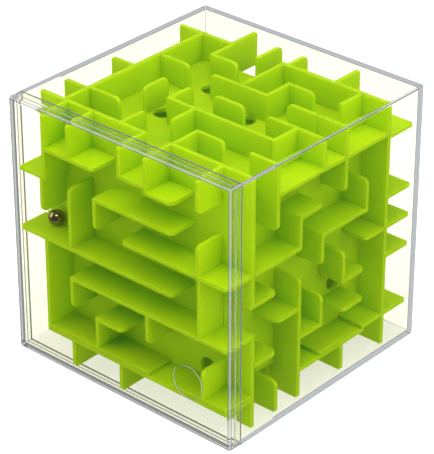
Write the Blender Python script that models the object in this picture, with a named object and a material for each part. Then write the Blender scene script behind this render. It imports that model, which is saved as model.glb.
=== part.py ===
"""Tilt maze cube: a clear two-piece case, a core of six maze panels, and a steel ball.

Metres, +Z up, with the lid on the -Y side.
"""

import math

import bmesh
import bpy
from mathutils import Matrix, Vector

MM = 0.001

# Clear case
SIDE = 80 * MM  # outer cube
WALL = 1.3 * MM
LID_DEPTH = 4.6 * MM  # the shallow tray on the -Y side
CASE_ROUND = 0.9 * MM
LIP_THICK = 0.55 * MM  # rim of the body, inside the skirt of the lid
LIP_LONG = 1.8 * MM
CLEAR = 0.12 * MM

# Maze core: six cells of PITCH each way on every face
PITCH = 9.4 * MM
WALL_THICK = 1.1 * MM
FLOOR_THICK = 1.2 * MM
GAP = 0.2 * MM  # between two panels
TIP_ROUND = 1.6 * MM  # upper corners of the free ends of the walls
CORNER_ROUND = 0.45 * MM  # upper corners of the walls that reach the case
HOLE = 5.8 * MM
CORE_CENTRE = Vector((-0.2 * MM, -0.75 * MM, SIDE / 2 - 0.4 * MM))

# Centre of the core to the middle of each floor plate, and to the tips of its walls, in millimetres
FLOOR_AT = {"front": 27.9, "right": 28.5, "top": 29.3, "back": 28.5, "left": 29.8, "bottom": 29.2}
REACH = {"front": 37.7, "right": 37.7, "top": 37.9, "back": 39.1, "left": 38.2, "bottom": 38.0}
# Centre of the grid, in millimetres, on the panels where it sits off the middle
GRID_AT = {"right": (0.8, 0), "top": (0.5, 0.85)}
OUT = 3.12  # grid line of a wall that stands level with the next panel's floor

# Ball
BALL = 4.76 * MM
BALL_AT = Vector((-30.5 * MM, -32.0 * MM, 0))
BALL_LIFT = 0.1 * MM

GREEN = (0.42, 0.62, 0.005)
CLEAR_TINT = (0.93, 0.94, 0.90)
STEEL = (0.62, 0.60, 0.57)

# Local axes of each panel: along u, along v, and out of the face.
AXES = {
    "front": ((1, 0, 0), (0, 0, 1), (0, -1, 0)),
    "back": ((-1, 0, 0), (0, 0, 1), (0, 1, 0)),
    "right": ((0, 1, 0), (0, 0, 1), (1, 0, 0)),
    "left": ((0, -1, 0), (0, 0, 1), (-1, 0, 0)),
    "top": ((1, 0, 0), (0, 1, 0), (0, 0, 1)),
    "bottom": ((1, 0, 0), (0, -1, 0), (0, 0, -1)),
}

# Walls of each panel on its grid: {line: spans}. Lines run -3 to 3 over the floor, and 4 is the case.
# along_u lines are heights in v, along_v lines are places in u. tabs: (u from, u to, v from, v to).
MAZE = {
    "front": {
        "along_u": {
            OUT: [(0, 1)], 2.95: [(-3, -1), (1, 2)], 2: [(-3.95, -3), (-1, 2)], 1: [(0, 4)], 0: [(-4, 2)],
            -1: [(-2, 4)], -2: [(-1, 0)], -3: [(-3, 1), (2, 4)], -OUT: [(-3, 4)],
        },
        "along_v": {
            -3: [(-OUT, 0), (2, 4)], -OUT: [(0.85, 2)], -2: [(-4, -3), (-2, -1), (0, 2), (3, 4)],
            -1: [(-3, -2), (1, 2)], 0: [(OUT, 4)], -0.07: [(-4, -3)], 1: [(-2, -1), (3, 4)],
            2.95: [(1, 2), (3, 4)], 3: [(-1, 1)], 3.14: [(-OUT, -2)],
        },
        "tabs": [
            (-4, 0, 3, 4), (1, 4, 3, 4), (3, 4, -4, -1), (3, 4, 0, 4), (-2, 4, -4, -3), (0, 1, 3, OUT),
            (-3.7, -3, 0, 1),
        ],
        "holes": [(2.5, -2.6)],
    },
    "right": {
        "along_u": {
            OUT: [(-2, 3)], 2: [(-1, 0)], 1: [(-3, -1), (0, 2)], 0: [(-3, -2), (2, 3)],
            -1: [(-2, -1), (1, 2)], -2: [(-3, -2), (-1, 0), (1, 2)], -3: [(0, 1), (2, 3)], -OUT: [(-1, 2)],
        },
        "along_v": {
            -2: [(-4, -3), (2, 4)], -1: [(1, 2), (-4, 0)], 0: [(OUT, 4), (0, 1), (-2, -1)],
            1: [(OUT, 4), (2, OUT), (-1, 0), (-4, -3)], 2: [(1, 2)],
        },
        "tabs": [(-1, 0, 3, 4), (2, 3, 3, 4), (-2, 3, 3, OUT), (-1, 3, -4, -3), (-3, -2, -4, -3)],
        "holes": [(1.65, -1.6)],
    },
    "top": {
        "along_u": {
            2: [(-2, -1), (1, 1.95)], 1: [(-4, -2), (-1.15, 1), (1.8, 3)], 0: [(-0.15, 1), (1.85, 3)],
            -1: [(-1, 3)], -2: [(-4, -2), (1, 2)],
        },
        "along_v": {
            -2: [(2, 3), (-1, 0)], -1: [(-3, -2), (-1, 0)], 0: [(1, 3), (-2, -1)], 1: [(1, 2), (-3, -2)],
        },
        "tabs": [],
        "holes": [(-1.6, -0.6), (-1.6, 1.5), (0.5, 0.65)],
    },
    "back": {
        "along_u": {
            3: [(-4, -3), (-2, 0), (2, 3)], 2: [(-3, -1), (0, 1)], 1: [(-4, -2), (1, 3)],
            0: [(-4, -3), (-1, 1)], -1: [(-4, -2), (0, 3)], -2: [(-2, 0), (1, 2)], -3: [(-4, 1), (2, 4)],
        },
        "along_v": {
            -3: [(-3, -2), (0, 1)], -2: [(3, 4), (-1, 0), (-4, -3)], -1: [(0, 2), (-3, -2)],
            0: [(2, 3.87), (-2, -1)], 1: [(2, 3.87), (0, 1), (-3, -2)], 2: [(3, 4), (1, 2), (-2, -1)],
            3: [(-3, -1), (0, 2)],
        },
        "tabs": [(-4, 0, 3, 4), (2, 4, 3, 4), (-4, -3, -4, 4), (3, 4, -2, 0), (3, 4, 1, 4), (-4, 2, -4, -3)],
        "holes": [(-0.5, 0.5), (2.5, -2.5)],
    },
    "left": {
        "along_u": {
            3: [(-3, -1), (0, 2)], 2: [(-2, 0), (2, 3)], 1: [(-1, 1), (1, 2)], 0: [(-3, -1), (2, 3)],
            -1: [(-2, 0), (1, 2)], -2: [(-1, 1), (2, 3)], -3: [(-3, 0), (1, 3)],
        },
        "along_v": {
            -2: [(0, 2), (-3, -2)], -1: [(1, 3), (-2, -1)], 0: [(3, 4), (0, 1), (-4, -3)],
            1: [(-1, 0), (2, 3)], 2: [(3, 4), (0, 2), (-2, -1)],
        },
        "tabs": [(-3, 3, 3, 4), (-3, 0, -4, -3), (1, 3, -4, -3)],
        "holes": [(-1.5, 0.5)],
    },
    "bottom": {
        "along_u": {
            2: [(-4, -1), (0, 2)], 1: [(-2, 0), (1, 3)], 0: [(-4, -2), (-1, 1)],
            -1: [(-1, 0), (1, 2)], -2: [(-2, 1), (2, 3)],
        },
        "along_v": {
            -2: [(-1, 1)], -1: [(-1, 0), (2, 3)], 0: [(1, 2), (-3, -2)], 1: [(-1, 0)], 2: [(-1, 1), (-3, -2)],
        },
        "tabs": [],
        "holes": [(0.5, -0.5), (-1.5, 1.5)],
    },
}


def clear_scene():
    for obj in list(bpy.data.objects):
        bpy.data.objects.remove(obj, do_unlink=True)


def material(name, colour, roughness, metallic=0.0, transmission=0.0, ior=1.5):
    made = bpy.data.materials.new(name)
    made.use_nodes = True
    shader = made.node_tree.nodes["Principled BSDF"]
    shader.inputs["Base Color"].default_value = (*colour, 1)
    shader.inputs["Roughness"].default_value = roughness
    shader.inputs["Metallic"].default_value = metallic
    shader.inputs["Transmission Weight"].default_value = transmission
    shader.inputs["IOR"].default_value = ior
    made.diffuse_color = (*colour, 1)
    return made


def mesh_object(name, mesh_data, made=None):
    mesh = bpy.data.meshes.new(name)
    bmesh.ops.recalc_face_normals(mesh_data, faces=mesh_data.faces)
    mesh_data.to_mesh(mesh)
    mesh_data.free()
    obj = bpy.data.objects.new(name, mesh)
    bpy.context.scene.collection.objects.link(obj)
    if made:
        mesh.materials.append(made)
    return obj


def prism(outline, other):
    """A closed solid between two outlines of the same number of points."""
    data = bmesh.new()
    ends = [[data.verts.new(p) for p in points] for points in (outline, other)]
    count = len(outline)
    for ring in ends:
        data.faces.new(ring)
    for i in range(count):
        j = (i + 1) % count
        data.faces.new((ends[0][i], ends[0][j], ends[1][j], ends[1][i]))
    return data


def box(low, high):
    """A closed box between two corners, as a bmesh."""
    (x0, y0, z0), (x1, y1, z1) = low, high
    return prism(*([(x0, y0, z), (x1, y0, z), (x1, y1, z), (x0, y1, z)] for z in (z0, z1)))


def combine(target, helpers, operation):
    """Joins the helpers to the target, or cuts them from it, one at a time, and removes them."""
    for helper in helpers:
        modifier = target.modifiers.new("cut", "BOOLEAN")
        modifier.operation = operation
        modifier.solver = "EXACT"
        modifier.object = helper
        graph = bpy.context.evaluated_depsgraph_get()
        mesh = bpy.data.meshes.new_from_object(target.evaluated_get(graph))
        target.modifiers.clear()
        old, target.data = target.data, mesh
        bpy.data.meshes.remove(old)
        bpy.data.objects.remove(helper, do_unlink=True)


def tidy(obj):
    """Joins doubled points and merges faces that lie in one plane."""
    data = bmesh.new()
    data.from_mesh(obj.data)
    bmesh.ops.remove_doubles(data, verts=data.verts, dist=1e-6)
    bmesh.ops.dissolve_limit(data, angle_limit=math.radians(0.5), verts=data.verts, edges=data.edges)
    data.to_mesh(obj.data)
    data.free()


def snap(value):
    """The nearest whole micrometre, so that faces meant to lie in one plane do."""
    return round(value, 6)


def at(line, room):
    """Place of a grid line in its room (low limit, high limit, centre of the grid): 4 is the limit."""
    low, high, middle = room
    if abs(line) == 4:
        return high if line > 0 else low
    return snap(min(max(middle + line * PITCH, low), high))


def layer_of(side):
    """Limits in u and in v of the space that a panel's walls may fill, and then the edges of its floor."""
    half = FLOOR_THICK / 2
    inner = {name: snap(place * MM - half - GAP) for name, place in FLOOR_AT.items()}
    outer = {name: snap(place * MM + half) for name, place in FLOOR_AT.items()}
    tips = {name: snap(place * MM) for name, place in REACH.items()}
    tall, high = (-tips["bottom"], tips["top"]), (-outer["bottom"], outer["top"])
    if side == "front":
        return (-tips["left"], tips["right"]), tall, (-outer["left"], outer["right"]), high
    if side == "back":
        return (-tips["right"], tips["left"]), tall, (-outer["right"], outer["left"]), high
    if side == "right":
        between = (-inner["front"], inner["back"])
        return between, tall, between, high
    if side == "left":
        between = (-inner["back"], inner["front"])
        return between, tall, between, high
    across = (-inner["left"], inner["right"])
    deep = (-inner["front"], inner["back"]) if side == "top" else (-inner["back"], inner["front"])
    return across, deep, across, deep


def wall_profile(start, end, low, high, round_start, round_end):
    """Outline of a wall seen from its side, as (along, out) pairs, with rounded upper corners."""
    points = [(start, low), (end, low)]
    for place, radius, turn in ((end, round_end, 1), (start, round_start, -1)):
        if not radius:
            points.append((place, high))
            continue
        steps = 3 if radius > 1 * MM else 1
        arc = [i * math.pi / 2 / steps for i in range(steps + 1)]
        for angle in arc if turn > 0 else reversed(arc):
            along = place - turn * radius * (1 - math.cos(angle))
            points.append((snap(along), snap(high - radius * (1 - math.sin(angle)))))
    return points


def round_of(end, line, maze, own, room):
    """Corner radius of a wall's end: none where it meets another wall or the next panel."""
    across = maze["along_v"] if own == "along_u" else maze["along_u"]
    for other, spans in across.items():
        close = abs(other - end) < 0.3 or abs(at(other, room) - at(end, room)) < WALL_THICK
        if close and any(a - 0.2 <= line <= b + 0.2 for a, b in spans):
            return 0
    beyond = [span for other, spans in maze[own].items() if abs(other - line) < 0.3 for span in spans]
    touching = sum(1 for a, b in beyond if a - 0.01 <= end <= b + 0.01)
    if touching > 1:
        return 0
    edge = room[end > 0]
    if abs(end) == 4:
        return CORNER_ROUND if abs(edge) > min(REACH.values()) * MM - MM else 0
    return TIP_ROUND if abs(at(end, room) - edge) > 1.2 * MM else 0


def panel(side, made):
    """One maze face: a floor plate with tabs and holes, and the walls standing on it."""
    u_axis, v_axis, out = (Vector(axis) for axis in AXES[side])
    place = FLOOR_AT[side] * MM
    half = FLOOR_THICK / 2
    u_limits, v_limits, u_floor, v_floor = layer_of(side)
    u_middle, v_middle = GRID_AT.get(side, (0, 0))
    u_room, v_room = (*u_limits, u_middle * MM), (*v_limits, v_middle * MM)
    maze = MAZE[side]

    helpers = []
    plate = box((u_floor[0], v_floor[0], place - half), (u_floor[1], v_floor[1], place + half))
    body = mesh_object("panel_" + side, plate, made)
    for u0, u1, v0, v1 in maze["tabs"]:
        spans = []
        for a, b, room in ((u0, u1, u_room), (v0, v1, v_room)):
            grow = WALL_THICK / 2
            low = at(a, room) - (grow if abs(a) != 4 else 0)
            high = at(b, room) + (grow if abs(b) != 4 else 0)
            spans.append((snap(max(low, room[0])), snap(min(high, room[1]))))
        (u0, u1), (v0, v1) = spans
        helpers.append(mesh_object("tab", box((u0, v0, place - half), (u1, v1, place + half))))

    for own, line_room, span_room in (("along_u", v_room, u_room), ("along_v", u_room, v_room)):
        for line, spans in maze[own].items():
            low, high, grid = line_room
            middle = at(line, (low + WALL_THICK / 2, high - WALL_THICK / 2, grid))
            for a, b in spans:
                rounds = [round_of(end, line, maze, own, span_room) for end in (a, b)]
                start, end = at(a, span_room), at(b, span_room)
                # a wall that meets another ends inside it
                start -= 0 if rounds[0] else WALL_THICK / 2 - 0.1 * MM
                end += 0 if rounds[1] else WALL_THICK / 2 - 0.1 * MM
                start, end = snap(max(start, span_room[0])), snap(min(end, span_room[1]))
                outline = wall_profile(start, end, place, REACH[side] * MM, *rounds)
                sides = []
                for across in (snap(middle - WALL_THICK / 2), snap(middle + WALL_THICK / 2)):
                    if own == "along_u":
                        sides.append([(along, across, high) for along, high in outline])
                    else:
                        sides.append([(across, along, high) for along, high in outline])
                helpers.append(mesh_object("wall", prism(*sides)))
    combine(body, helpers, "UNION")

    holes = []
    for u, v in maze["holes"]:
        data = bmesh.new()
        bmesh.ops.create_cone(
            data, cap_ends=True, segments=24, radius1=HOLE / 2, radius2=HOLE / 2, depth=4 * MM
        )
        centre = (u_room[2] + u * PITCH, v_room[2] + v * PITCH, place)
        bmesh.ops.translate(data, vec=centre, verts=data.verts)
        holes.append(mesh_object("hole", data))
    combine(body, holes, "DIFFERENCE")
    tidy(body)
    turn = Matrix((u_axis, v_axis, out)).transposed().to_4x4()
    body.data.transform(turn)
    body.location = CORE_CENTRE
    return body


def rounded_box(low, high, radius, segments=3):
    data = box(low, high)
    bmesh.ops.bevel(data, geom=data.edges[:], offset=radius, segments=segments, profile=0.5, affect="EDGES")
    return data


def case_body(made):
    """Five clear walls, open on the -Y side, with a thin lip that runs inside the skirt of the lid."""
    half = SIDE / 2
    rim = -half + LID_DEPTH
    body = mesh_object("case_body", rounded_box((-half, -half, 0), (half, half, SIDE), CASE_ROUND), made)
    inner = half - WALL
    lip = inner + LIP_THICK
    cuts = [
        mesh_object("cut", box((-inner, -half - MM, WALL), (inner, inner, SIDE - WALL))),
        mesh_object("cut", box((-half - MM, -half - MM, -MM), (half + MM, rim - LIP_LONG, SIDE + MM))),
    ]
    combine(body, cuts, "DIFFERENCE")
    ring = mesh_object("ring", box((-half - MM, -half, -MM), (half + MM, rim, SIDE + MM)))
    keep = mesh_object("keep", box((-lip, -half - MM, half - lip), (lip, rim + MM, half + lip)))
    combine(ring, [keep], "DIFFERENCE")
    combine(body, [ring], "DIFFERENCE")
    tidy(body)
    return body


def case_lid(made):
    """The shallow clear tray that closes the -Y side: a plate, and a skirt stepped to go over the lip."""
    half = SIDE / 2
    rim = -half + LID_DEPTH - CLEAR
    inner = half - WALL
    step = inner + LIP_THICK + CLEAR
    lid = mesh_object("case_lid", rounded_box((-half, -half, 0), (half, half, SIDE), CASE_ROUND), made)
    cuts = [
        mesh_object("cut", box((-half - MM, rim, -MM), (half + MM, half + MM, SIDE + MM))),
        mesh_object("cut", box((-inner, -half + WALL, WALL), (inner, half, SIDE - WALL))),
        mesh_object("cut", box((-step, rim - LIP_LONG - CLEAR, half - step), (step, half, half + step))),
    ]
    combine(lid, cuts, "DIFFERENCE")
    tidy(lid)
    return lid


def steel_ball(made):
    data = bmesh.new()
    bmesh.ops.create_uvsphere(data, u_segments=24, v_segments=16, radius=BALL / 2)
    ball = mesh_object("ball", data, made)
    floor = CORE_CENTRE.z + WALL_THICK / 2
    ball.location = BALL_AT + Vector((0, 0, floor + BALL / 2 + BALL_LIFT))
    for face in ball.data.polygons:
        face.use_smooth = True
    return ball


def main():
    clear_scene()
    clear = material("clear_polystyrene", CLEAR_TINT, 0.03, transmission=1.0, ior=1.59)
    green = material("green_plastic", GREEN, 0.32)
    steel = material("steel", STEEL, 0.12, metallic=1.0)
    case_body(clear)
    case_lid(clear)
    for side in AXES:
        panel(side, green)
    steel_ball(steel)


main()
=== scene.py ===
"""Tilt maze cube: a clear two-piece case round a lime green maze core, with one steel ball.

It stands in a pale studio. The six maze panels are the CAD's own, and the box, the lid and the ball
are finer shapes in place of the CAD's.
"""

import math

import bmesh
import bpy
from mathutils import Matrix, Vector

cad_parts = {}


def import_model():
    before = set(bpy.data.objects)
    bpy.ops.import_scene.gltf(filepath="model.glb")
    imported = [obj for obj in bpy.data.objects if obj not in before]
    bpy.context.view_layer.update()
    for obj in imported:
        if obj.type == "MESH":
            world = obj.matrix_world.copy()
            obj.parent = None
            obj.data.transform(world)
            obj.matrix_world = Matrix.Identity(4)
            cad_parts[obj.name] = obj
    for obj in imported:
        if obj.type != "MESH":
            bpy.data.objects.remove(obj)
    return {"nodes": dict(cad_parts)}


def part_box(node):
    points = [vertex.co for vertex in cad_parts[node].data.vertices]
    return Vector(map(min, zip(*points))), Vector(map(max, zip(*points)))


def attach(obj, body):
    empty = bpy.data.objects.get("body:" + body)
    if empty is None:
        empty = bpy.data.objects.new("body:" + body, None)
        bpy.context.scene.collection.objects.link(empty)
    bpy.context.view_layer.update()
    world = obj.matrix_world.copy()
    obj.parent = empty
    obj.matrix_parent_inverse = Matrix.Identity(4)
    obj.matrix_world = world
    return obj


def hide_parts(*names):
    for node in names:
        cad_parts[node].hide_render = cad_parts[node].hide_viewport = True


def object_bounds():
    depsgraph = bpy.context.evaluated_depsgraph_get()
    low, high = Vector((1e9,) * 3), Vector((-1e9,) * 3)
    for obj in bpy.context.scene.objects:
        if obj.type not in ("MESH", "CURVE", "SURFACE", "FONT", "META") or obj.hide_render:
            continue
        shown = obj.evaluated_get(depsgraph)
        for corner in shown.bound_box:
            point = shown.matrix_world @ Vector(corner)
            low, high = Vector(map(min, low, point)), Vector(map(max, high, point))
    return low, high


MM = 0.001
WHITE = (1, 1, 1)

# Case and lid
CASE_EDGE = 0.5 * MM  # outer rounding of the box
LID_EDGE = 0.85 * MM  # and of the lid
EDGE_STEPS = 6
CASE_FILLET = 0.5 * MM  # rounding inside both
FILLET_STEPS = 4
PANEL_GAP = 0.3 * MM  # between the case's inside and the maze panels
LIP_LONG = 1.8 * MM  # the box's thin rim, which the lid goes over
LIP_THICK = 0.55 * MM
LID_GAP = 0.12 * MM
TWINS = 0.0001 * MM  # points nearer than this are one point
PAST = 2 * MM  # how far a cutter reaches past what it cuts
LIP_CUT_PAST = 9 * MM  # and how far the one that shapes the lip does
MOUTH_SHORT = 60 * MM  # from the box's back wall to the cut that opens its front
SHARP_OVER = math.radians(35)  # a crease steeper than this isn't shaded smooth
FACE_WEIGHT = 100  # the highest: the flat walls' normals win over the rounded edges'

# Ring that the mould's ejector pin leaves inside the lid
MARK = 10.6 * MM  # across
MARK_WIDE = 0.35 * MM  # of its groove
MARK_DEEP = 0.2 * MM
MARK_SIDES = 64
MARK_AT = (24.4 * MM, 15.4 * MM)  # right of the middle, and above the lowest edge

# Which faces of the case take which clear plastic: plain, or with a painted reflection
WALL_SLOT, EDGE_SLOT, SEAM_SLOT, MARK_SLOT = range(4)
FLAT = 0.999  # the largest part of a face's normal, over which it is flat
EDGE_DEEP = 0.9 * CASE_EDGE  # a rounded face that lies deeper isn't on an outer edge
FACING_LID = 0.99  # the part of it along the lid's way off, over which it faces that way
SEAM_REACH = 2 * LID_GAP
MARK_FACE = 4 * MARK_WIDE**2  # the largest face that the ring is made of

# Maze panels
PANEL_EDGE = 0.08 * MM
PANEL_EDGE_STEPS = 2
WALL_DEEP = 8.5 * MM  # the maze walls, from tip to floor
TIP_DEEP = 1.1 * MM  # a face this near the longest walls' tips, or nearer, is a tip, and takes painted shade

BALL_STEPS = 5  # times that the icosphere is subdivided

# Surface grain: noise scale, smoothest, roughest, and height of its waves
GRAIN_DETAIL = 3.0
GREEN_GRAIN = (260.0, 0.36, 0.50, 0.02 * MM)
CLEAR_GRAIN = (60.0, 0.0, 0.03, 0.01 * MM)
STEEL_GRAIN = (2000.0, 0.05, 0.12, 0.0005 * MM)

# Green plastic
LIME = (0.57, 0.80, 0.001)
LIME_GRAIN = 0.9  # brightness of the lime where the grain is darkest
FOOT_SHADE_LIME = (0.48, 0.72, 0.001)  # painted shade: darker at the foot of the walls, and along their tips
TIP_SHADE_LIME = (0.45, 0.67, 0.001)
# painted shade in the corners and creases
CORNER_SHADE_GREEN = (0.13, 0.53, 0.001)
HOLLOW, OPEN = 0.02, 0.42  # ambient occlusion where the painted shade is deepest, and where it is all lime
HOLLOW_REACH = 12 * MM
HOLLOW_SAMPLES = 8
GREEN_IOR = 1.5
GREEN_SHINE = 0.2
SCATTER = 0.6
SCATTER_SHARES = (1.0, 1.0, 0.1)
SCATTER_DEEP = 1.5 * MM
GLOW = (0.70, 0.90, 0.001)  # light that comes through the walls, and its share
GLOW_SHARE = 0.4

# Clear plastic
CLEAR_TINT = (0.975, 0.98, 0.90)
SHADOW_TINT = (0.97, 0.97, 0.93)
CLEAR_IOR = 1.3
EDGE_DARK_REFLECTION = (0.13, 0.11, 0.17)  # painted reflection on the sides of a rounded edge, and on its crest
PALE_REFLECTION = (0.62, 0.58, 0.70)
EDGE_STARTS, EDGE_CREST = 0.97, 0.85  # the largest part of the normal at each of them
# painted dark reflection on the seam between the box and the lid
SEAM_DARK_REFLECTION = (0.18, 0.19, 0.18)
EDGE_PAINTED_SHARE = 0.5  # the share of these painted reflection colours on the edges and the seam, and on the mark
MARK_PAINTED_SHARE = 0.04
MOST_MIRRORS = 3  # a ray mirrored this often sees clear plastic as a plain grey painted glow

STEEL = (0.66, 0.55, 0.46)

# Painted reflections: what reflections see in place of the white studio
MIRRORED_ONCE = (0.03, 0.03, 0.03)
MIRRORED_IN_WALL = (0.06, 0.055, 0.075)  # by a ray turned back inside a clear wall
MIRRORED_INSIDE = (0.05, 0.04, 0.03)  # by a surface inside the case
MIRRORED_OFTEN = (0.54, 0.57, 0.62)  # by the edges of the clear case
SURFACES_OUT = 4  # clear ones passed by a ray into the case and out, when it is mirrored inside
PAINTED_GLINT_FROM = (-0.8, -0.42, 0.35)  # painted highlight: where the ball sees a warm lamp painted into the sky, how wide, and in what colour
PAINTED_GLINT_SPREAD = math.radians(25)
PAINTED_GLINT = (1.3, 1.08, 0.92)

# Camera and studio
LENS_MM = 183.8
CLIP_START = 0.02
CAMERA_FROM_CENTRE = (4.675, -5.279, 3.984)  # in sides of the cube
AIM_BELOW = 2.75 * MM
# Name, place, size and power of each lamp, its colour, and whether reflections see it
LAMPS = (
    ("key", (0.15, -0.1, 0.75), 0.7, 3.8, (1.0, 0.93, 0.73), True),
    ("fill", (-0.6, -0.25, 0.35), 0.4, 1.3, (1.0, 0.72, 0.55), False),
    ("front", (-0.5, -0.6, 0.5), 0.6, 1.2, WHITE, False),
    ("side", (0.7, 0.1, 0.4), 0.6, 2.3, WHITE, False),
)
FLOOR_SIZE = 3  # metres each way
FLOOR_DROP = 0.1 * MM
FLOOR_GREY = (0.35, 0.35, 0.35)
FLOOR_GLOW = 0.85
FLOOR_ROUGH = 0.9
MOST_BOUNCES = 64
MOST_WALLS = 32  # clear surfaces that a ray may pass, and a shadow ray
MOST_SHADOW_WALLS = 16

MIX_FIRST, MIX_SECOND, MIX_RESULT = 6, 7, 2  # the colour sockets of a Mix node


def node(tree, kind, **values):
    """A shader node with its sockets set by name, or linked where the value is a socket."""
    made = tree.nodes.new(kind)
    for name, value in values.items():
        if hasattr(made, name):
            setattr(made, name, value)
        else:
            fill(tree, made.inputs[name.replace("_", " ")], value)
    return made


def fill(tree, socket, value):
    """Links a socket to another, or sets it. A colour comes without its alpha."""
    if isinstance(value, bpy.types.NodeSocket):
        tree.links.new(value, socket)
    elif socket.type == "RGBA":
        socket.default_value = (*value, 1)
    else:
        socket.default_value = value


def pick(tree, factor, first, second):
    """A colour that turns from the first to the second as the factor goes from 0 to 1."""
    made = node(tree, "ShaderNodeMix", data_type="RGBA", Factor=factor)
    fill(tree, made.inputs[MIX_FIRST], first)
    fill(tree, made.inputs[MIX_SECOND], second)
    return made.outputs[MIX_RESULT]


def blend(tree, factor, first, second):
    """A shader that turns from the first to the second as the factor goes from 0 to 1."""
    made = node(tree, "ShaderNodeMixShader", Fac=factor)
    tree.links.new(first, made.inputs[1])
    tree.links.new(second, made.inputs[2])
    return made.outputs[0]


def ramp(tree, value, start, end):
    """0 up to the start and 1 from the end on, with a smooth rise between them."""
    made = node(tree, "ShaderNodeMapRange", interpolation_type="SMOOTHSTEP", Value=value)
    made.inputs["From Min"].default_value = start
    made.inputs["From Max"].default_value = end
    return made.outputs["Result"]


def above(tree, value, limit):
    """1 where the value is over the limit, and 0 elsewhere."""
    made = node(tree, "ShaderNodeMath", operation="GREATER_THAN")
    tree.links.new(value, made.inputs[0])
    made.inputs[1].default_value = limit
    return made.outputs[0]


def at_least(tree, count, least):
    """1 where a whole number is the least or more, and 0 elsewhere."""
    return above(tree, count, least - 0.5)


def largest_part(tree, vector):
    """The largest of a vector's three parts, each without its sign."""
    split = node(tree, "ShaderNodeSeparateXYZ")
    tree.links.new(vector, split.inputs[0])
    largest = None
    for axis in split.outputs:
        size = node(tree, "ShaderNodeMath", operation="ABSOLUTE")
        tree.links.new(axis, size.inputs[0])
        if largest is None:
            largest = size.outputs[0]
            continue
        larger = node(tree, "ShaderNodeMath", operation="MAXIMUM")
        tree.links.new(largest, larger.inputs[0])
        tree.links.new(size.outputs[0], larger.inputs[1])
        largest = larger.outputs[0]
    return largest


def from_centre(tree, centre):
    """How far a point is from the cube's middle, to the nearest side and along its own normal."""
    place = node(tree, "ShaderNodeTexCoord")
    offset = node(tree, "ShaderNodeVectorMath", operation="SUBTRACT")
    tree.links.new(place.outputs["Object"], offset.inputs[0])
    offset.inputs[1].default_value = centre
    along = node(tree, "ShaderNodeVectorMath", operation="DOT_PRODUCT")
    tree.links.new(place.outputs["Normal"], along.inputs[0])
    tree.links.new(offset.outputs[0], along.inputs[1])
    return largest_part(tree, offset.outputs[0]), along.outputs["Value"]


def moulded(tree, shader, scale, smooth, rough, height):
    """Roughness that varies between two values, and faint moulding waves, from one noise."""
    place = node(tree, "ShaderNodeTexCoord").outputs["Object"]
    noise = node(tree, "ShaderNodeTexNoise", Vector=place, Scale=scale, Detail=GRAIN_DETAIL)
    spread = node(tree, "ShaderNodeMapRange", Value=noise.outputs["Fac"])
    spread.inputs["To Min"].default_value = smooth
    spread.inputs["To Max"].default_value = rough
    tree.links.new(spread.outputs["Result"], shader.inputs["Roughness"])
    bump = node(
        tree, "ShaderNodeBump", Height=noise.outputs["Fac"], Distance=height, Strength=1.0
    )
    tree.links.new(bump.outputs["Normal"], shader.inputs["Normal"])
    return noise.outputs["Fac"]


def dim_in_mirrors(tree, colour, inside=MIRRORED_INSIDE):
    """A colour that reflections see as dim surroundings, and the clear case's edges as pale grey:
    painted reflection.

    How often a ray was mirrored, and how many clear surfaces it passed, tell which it is.
    """
    path = node(tree, "ShaderNodeLightPath")
    mirrors, walls = path.outputs["Glossy Depth"], path.outputs["Transmission Depth"]
    outer = pick(tree, at_least(tree, walls, 1), MIRRORED_ONCE, MIRRORED_IN_WALL)
    once = pick(tree, at_least(tree, walls, SURFACES_OUT), outer, inside)
    mirrored = pick(tree, at_least(tree, mirrors, 2), once, MIRRORED_OFTEN)
    return pick(tree, at_least(tree, mirrors, 1), colour, mirrored)


def new_material(name):
    made = bpy.data.materials.new(name)
    made.use_nodes = True
    tree = made.node_tree
    return made, tree, tree.nodes["Principled BSDF"], tree.nodes["Material Output"]


def green_plastic(centre, floor_at, tips_at):
    """Slightly translucent plastic that lit walls glow in, with painted shade: deep green in the
    corners, darker towards the floors and on the walls' tips.

    floor_at and tips_at are how far the panels' floors and their walls' tips are from the centre.
    """
    made, tree, shader, output = new_material("lime_plastic")
    # painted shade: ambient occlusion turns the lime deep green in corners and creases
    hollow = node(
        tree,
        "ShaderNodeAmbientOcclusion",
        samples=HOLLOW_SAMPLES,
        only_local=True,
        Distance=HOLLOW_REACH,
    )
    open_air = ramp(tree, hollow.outputs["AO"], HOLLOW, OPEN)
    grain = moulded(tree, shader, *GREEN_GRAIN)
    upper = pick(tree, grain, LIME, tuple(LIME_GRAIN * part for part in LIME))
    out, along = from_centre(tree, centre)
    # painted shade: darker towards the panels' floors
    wall = pick(tree, ramp(tree, out, floor_at, tips_at), FOOT_SHADE_LIME, upper)
    # painted shade: darker on the walls' tips, which the lamps light most
    lime = pick(tree, above(tree, along, tips_at - TIP_DEEP), wall, TIP_SHADE_LIME)
    tree.links.new(pick(tree, open_air, CORNER_SHADE_GREEN, lime), shader.inputs["Base Color"])
    shader.inputs["IOR"].default_value = GREEN_IOR
    shader.inputs["Specular IOR Level"].default_value = GREEN_SHINE
    shader.inputs["Subsurface Weight"].default_value = SCATTER
    shader.inputs["Subsurface Radius"].default_value = SCATTER_SHARES
    shader.inputs["Subsurface Scale"].default_value = SCATTER_DEEP
    glow = node(tree, "ShaderNodeBsdfTranslucent", Color=GLOW)
    both = blend(tree, GLOW_SHARE, shader.outputs[0], glow.outputs[0])
    tree.links.new(both, output.inputs["Surface"])
    return made


def painted_edge_reflection(tree):
    """Painted reflection: dark on a rounded edge's sides and pale on its crest, by how far its
    normal has turned.
    """
    largest = largest_part(tree, node(tree, "ShaderNodeTexCoord").outputs["Normal"])
    return pick(tree, ramp(tree, largest, EDGE_STARTS, EDGE_CREST), EDGE_DARK_REFLECTION, PALE_REFLECTION)


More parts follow.
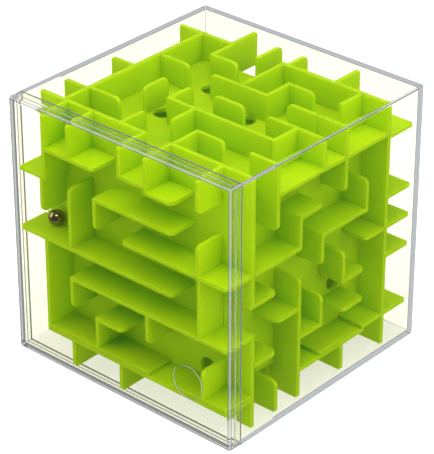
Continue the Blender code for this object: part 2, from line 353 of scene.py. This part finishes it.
def clear_plastic(name, painted_share=0.0, colour=None):
    """Clear polystyrene. The painted_share is the share of a colour, or of the edges' painted
    reflection, that it shows as a painted reflection.
    """
    made, tree, shader, output = new_material(name)
    shader.inputs["Base Color"].default_value = (*CLEAR_TINT, 1)
    moulded(tree, shader, *CLEAR_GRAIN)
    shader.inputs["IOR"].default_value = CLEAR_IOR
    shader.inputs["Transmission Weight"].default_value = 1.0
    lit = shader.outputs[0]
    # painted reflection: an unlit colour mixed into the clear plastic
    if painted_share:
        shown = node(tree, "ShaderNodeEmission", Color=colour or painted_edge_reflection(tree))
        lit = blend(tree, painted_share, lit, shown.outputs[0])
    path = node(tree, "ShaderNodeLightPath")
    # painted light: a ray mirrored this often sees a plain grey glow in place of the light the
    # walls would carry
    lost = at_least(tree, path.outputs["Glossy Depth"], MOST_MIRRORS)
    painted_wall_glow = node(tree, "ShaderNodeEmission", Color=MIRRORED_OFTEN)
    lit = blend(tree, lost, lit, painted_wall_glow.outputs[0])
    through = node(tree, "ShaderNodeBsdfTransparent", Color=SHADOW_TINT)
    lit = blend(tree, path.outputs["Is Shadow Ray"], lit, through.outputs[0])
    tree.links.new(lit, output.inputs["Surface"])
    return made


def polished_steel():
    made, tree, shader, _ = new_material("polished_steel")
    shader.inputs["Base Color"].default_value = (*STEEL, 1)
    shader.inputs["Metallic"].default_value = 1.0
    moulded(tree, shader, *STEEL_GRAIN)
    return made


def floor_material():
    made, tree, shader, _ = new_material("studio_floor")
    # painted reflection: reflections see the floor dim, the camera sees it evenly pale and glowing
    tree.links.new(dim_in_mirrors(tree, FLOOR_GREY), shader.inputs["Base Color"])
    tree.links.new(dim_in_mirrors(tree, WHITE), shader.inputs["Emission Color"])
    shader.inputs["Emission Strength"].default_value = FLOOR_GLOW
    shader.inputs["Roughness"].default_value = FLOOR_ROUGH
    shader.inputs["Specular IOR Level"].default_value = 0.0
    return made


def paint(obj, made):
    """Puts a material in every slot of an object, or in a first one."""
    for slot in obj.material_slots:
        slot.material = made
    if not obj.material_slots:
        obj.data.materials.append(made)


def mesh_object(name, data):
    mesh = bpy.data.meshes.new(name)
    bmesh.ops.recalc_face_normals(data, faces=data.faces)
    data.to_mesh(mesh)
    data.free()
    obj = bpy.data.objects.new(name, mesh)
    bpy.context.scene.collection.objects.link(obj)
    return obj


def box(low, high, radius=0.0, segments=EDGE_STEPS):
    """A box between two corners, with its edges rounded where a radius is given."""
    low, high = Vector(low), Vector(high)
    data = bmesh.new()
    bmesh.ops.create_cube(data, size=1)
    bmesh.ops.scale(data, vec=high - low, verts=data.verts)
    bmesh.ops.translate(data, vec=(low + high) / 2, verts=data.verts)
    if radius:
        bmesh.ops.bevel(
            data,
            geom=data.edges[:],
            offset=radius,
            segments=segments,
            profile=0.5,
            affect="EDGES",
        )
    return mesh_object("helper", data)


def join_twins(mesh):
    """Joins the points that a cut leaves in one place, and so removes the slivers between them."""
    data = bmesh.new()
    data.from_mesh(mesh)
    bmesh.ops.remove_doubles(data, verts=data.verts, dist=TWINS)
    data.to_mesh(mesh)
    data.free()


def cut(target, cutters):
    """Takes the cutters' shapes out of the target, and removes the cutters."""
    for cutter in cutters:
        modifier = target.modifiers.new("cut", "BOOLEAN")
        modifier.operation = "DIFFERENCE"
        modifier.solver = "EXACT"
        modifier.object = cutter
        graph = bpy.context.evaluated_depsgraph_get()
        mesh = bpy.data.meshes.new_from_object(target.evaluated_get(graph))
        join_twins(mesh)
        target.modifiers.clear()
        old, target.data = target.data, mesh
        bpy.data.meshes.remove(old)
        bpy.data.objects.remove(cutter, do_unlink=True)
    return target


def smooth_but_flat(obj):
    """Smooth shading on the rounded edges that leaves the flat walls flat."""
    obj.data.shade_smooth()
    obj.data.set_sharp_from_angle(angle=SHARP_OVER)
    weigh = obj.modifiers.new("flat walls", "WEIGHTED_NORMAL")
    weigh.keep_sharp = True
    weigh.weight = FACE_WEIGHT


def inner_box(low, high, wall):
    """The hollow of the closed case."""
    inside = Vector((wall, wall, wall))
    return box(low + inside, high - inside, CASE_FILLET, FILLET_STEPS)


def clear_box(low, high, wall, rim):
    """The case's box, open towards the lid, with a thin lip there."""
    inside = Vector((wall, wall, wall))
    past = Vector((PAST, PAST, PAST))
    body = box(low, high, CASE_EDGE)
    body.name = "clear_box"
    body_rim = rim + LID_GAP
    mouth_low = low + inside + Vector((0, -wall - PAST, 0))
    mouth = box(mouth_low, high - inside - Vector((0, MOUTH_SHORT, 0)))
    front = box(low - past, (high.x + PAST, body_rim - LIP_LONG, high.z + PAST))
    cut(body, [inner_box(low, high, wall), mouth, front])
    around_lip = box(low - past, (high.x + PAST, body_rim, high.z + PAST))
    over = Vector((LIP_THICK, LIP_CUT_PAST, LIP_THICK))
    lip = box(low + inside - over, high - inside + over, CASE_FILLET, FILLET_STEPS)
    return cut(body, [cut(around_lip, [lip])])


def mark_place(low, wall):
    return Vector((MARK_AT[0], low.y + wall, low.z + MARK_AT[1]))


def ejector_mark(low, wall):
    """Cutter for the shallow ring that the mould's ejector pin leaves inside the lid."""
    data = bmesh.new()
    inner, outer = MARK / 2 - MARK_WIDE, MARK / 2
    profile = [(inner, -MARK_DEEP), (outer, -MARK_DEEP), (outer, MARK_DEEP), (inner, MARK_DEEP)]
    rows = [
        [
            data.verts.new((radius * math.cos(turn), radius * math.sin(turn), depth))
            for radius, depth in profile
        ]
        for turn in (math.tau * step / MARK_SIDES for step in range(MARK_SIDES))
    ]
    for row, after in zip(rows, rows[1:] + rows[:1]):
        for i in range(len(profile)):
            data.faces.new((row[i], row[i - 1], after[i - 1], after[i]))
    bmesh.ops.rotate(data, matrix=Matrix.Rotation(math.pi / 2, 3, "X"), verts=data.verts)
    bmesh.ops.translate(data, vec=mark_place(low, wall), verts=data.verts)
    return mesh_object("helper", data)


def clear_lid(low, high, wall, rim):
    """The lid, a shallow tray that is cut back inside to go over the box's lip."""
    lid = box(low, high, LID_EDGE)
    lid.name = "clear_lid"
    back = box((low.x - PAST, rim, low.z - PAST), high + Vector((PAST, PAST, PAST)))
    step = LIP_THICK + LID_GAP
    rebate = box(
        (low.x + wall - step, rim - LIP_LONG - LID_GAP, low.z + wall - step),
        (high.x - wall + step, high.y, high.z - wall + step),
        CASE_FILLET,
        FILLET_STEPS,
    )
    return cut(lid, [back, inner_box(low, high, wall), rebate, ejector_mark(low, wall)])


def on_outer_edge(face, low, high):
    """Whether a face is on one of the case's rounded outer edges, and not on a fillet inside."""
    rounded = max(abs(part) for part in face.normal) < FLAT
    place = face.center
    depth = min(min(place[i] - low[i], high[i] - place[i]) for i in range(3))
    return rounded and depth <= EDGE_DEEP


def case_pieces(low, high, clears):
    """The clear box and its lid, each in place of its plain solid.

    clears holds the clear materials in the order of the slots.
    """
    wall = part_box("panel_bottom")[0].z - PANEL_GAP
    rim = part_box("case_lid")[1].y
    body = clear_box(low, high, wall, rim)
    lid = clear_lid(low, high, wall, rim)
    mark = mark_place(low, wall)
    for piece, node_name, body_name in ((body, "case_body", "case"), (lid, "case_lid", "lid")):
        smooth_but_flat(piece)
        paint(piece, clears[WALL_SLOT])
        for made in clears[EDGE_SLOT:]:
            piece.data.materials.append(made)
        for face in piece.data.polygons:
            if on_outer_edge(face, low, high):
                face.material_index = EDGE_SLOT
            elif abs(face.normal.y) > FACING_LID and abs(face.center.y - rim) < SEAM_REACH:
                face.material_index = SEAM_SLOT
            # painted pale reflection on the faces of the ring
            elif (face.center - mark).length < MARK and face.area < MARK_FACE:
                face.material_index = MARK_SLOT
        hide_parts(node_name)
        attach(piece, body_name)


def ball_piece(made):
    low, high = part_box("ball")
    data = bmesh.new()
    bmesh.ops.create_icosphere(data, subdivisions=BALL_STEPS, radius=(high - low).z / 2)
    bmesh.ops.translate(data, vec=(low + high) / 2, verts=data.verts)
    ball = mesh_object("steel_ball", data)
    ball.data.shade_smooth()
    paint(ball, made)
    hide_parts("ball")
    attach(ball, "ball")


def green_panels(nodes, made):
    """Gives the CAD's maze panels their material, and takes the sharpness off their edges."""
    for name, obj in nodes.items():
        if name.startswith("panel"):
            paint(obj, made)
            soften = obj.modifiers.new("soften", "BEVEL")
            soften.width = PANEL_EDGE
            soften.segments = PANEL_EDGE_STEPS
            soften.limit_method = "ANGLE"


def camera(centre, side):
    data = bpy.data.cameras.new("camera")
    data.lens = LENS_MM
    data.clip_start = CLIP_START
    view = bpy.data.objects.new("camera", data)
    bpy.context.scene.collection.objects.link(view)
    view.location = centre + Vector(CAMERA_FROM_CENTRE) * side
    aim = centre - Vector((0, 0, AIM_BELOW))
    view.rotation_euler = (aim - view.location).to_track_quat("-Z", "Y").to_euler()
    bpy.context.scene.camera = view


def area_light(name, place, aim, size, power, colour, mirrored):
    data = bpy.data.lights.new(name, "AREA")
    data.shape = "SQUARE"
    data.size = size
    data.energy = power
    data.color = colour
    lamp = bpy.data.objects.new(name, data)
    bpy.context.scene.collection.objects.link(lamp)
    lamp.location = place
    lamp.rotation_euler = (aim - Vector(place)).to_track_quat("-Z", "Y").to_euler()
    lamp.visible_glossy = mirrored
    lamp.visible_transmission = mirrored


def sky_colour(tree):
    """White, which reflections see as the dim studio, with a painted warm highlight for reflections
    in the case.
    """
    towards = node(tree, "ShaderNodeVectorMath", operation="DOT_PRODUCT")
    tree.links.new(node(tree, "ShaderNodeTexCoord").outputs["Generated"], towards.inputs[0])
    towards.inputs[1].default_value = Vector(PAINTED_GLINT_FROM).normalized()
    on_painted_glint = above(tree, towards.outputs["Value"], math.cos(PAINTED_GLINT_SPREAD))
    return dim_in_mirrors(tree, WHITE, pick(tree, on_painted_glint, MIRRORED_INSIDE, PAINTED_GLINT))


def floor():
    data = bmesh.new()
    bmesh.ops.create_grid(data, x_segments=1, y_segments=1, size=FLOOR_SIZE)
    mesh = bpy.data.meshes.new("floor")
    data.to_mesh(mesh)
    data.free()
    made = bpy.data.objects.new("floor", mesh)
    bpy.context.scene.collection.objects.link(made)
    made.location.z = -FLOOR_DROP
    paint(made, floor_material())


def studio(centre):
    scene = bpy.context.scene
    world = bpy.data.worlds.new("studio")
    scene.world = world
    world.use_nodes = True
    sky = world.node_tree.nodes["Background"]
    world.node_tree.links.new(sky_colour(world.node_tree), sky.inputs["Color"])
    sky.inputs["Strength"].default_value = 1.0
    for name, place, size, power, colour, mirrored in LAMPS:
        area_light(name, place, centre, size, power, colour, mirrored)
    floor()
    scene.view_settings.view_transform = "Standard"
    scene.cycles.max_bounces = MOST_BOUNCES
    scene.cycles.transmission_bounces = MOST_WALLS
    scene.cycles.glossy_bounces = MOST_BOUNCES
    scene.cycles.transparent_max_bounces = MOST_SHADOW_WALLS


def main():
    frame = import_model()
    cad_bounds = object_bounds()
    low, high = (Vector(corner) for corner in cad_bounds)
    centre, side = (low + high) / 2, (high - low).x
    tips_at = side / 2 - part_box("panel_bottom")[0].z
    green_panels(frame["nodes"], green_plastic(centre, tips_at - WALL_DEEP, tips_at))
    clears = (
        clear_plastic("clear_walls"),
        clear_plastic("clear_edges_painted_reflection", EDGE_PAINTED_SHARE),
        clear_plastic("clear_seam_painted_reflection", EDGE_PAINTED_SHARE, SEAM_DARK_REFLECTION),
        clear_plastic("clear_mark_painted_reflection", MARK_PAINTED_SHARE, PALE_REFLECTION),
    )
    case_pieces(low, high, clears)
    ball_piece(polished_steel())
    camera(centre, side)
    studio(centre)


main()
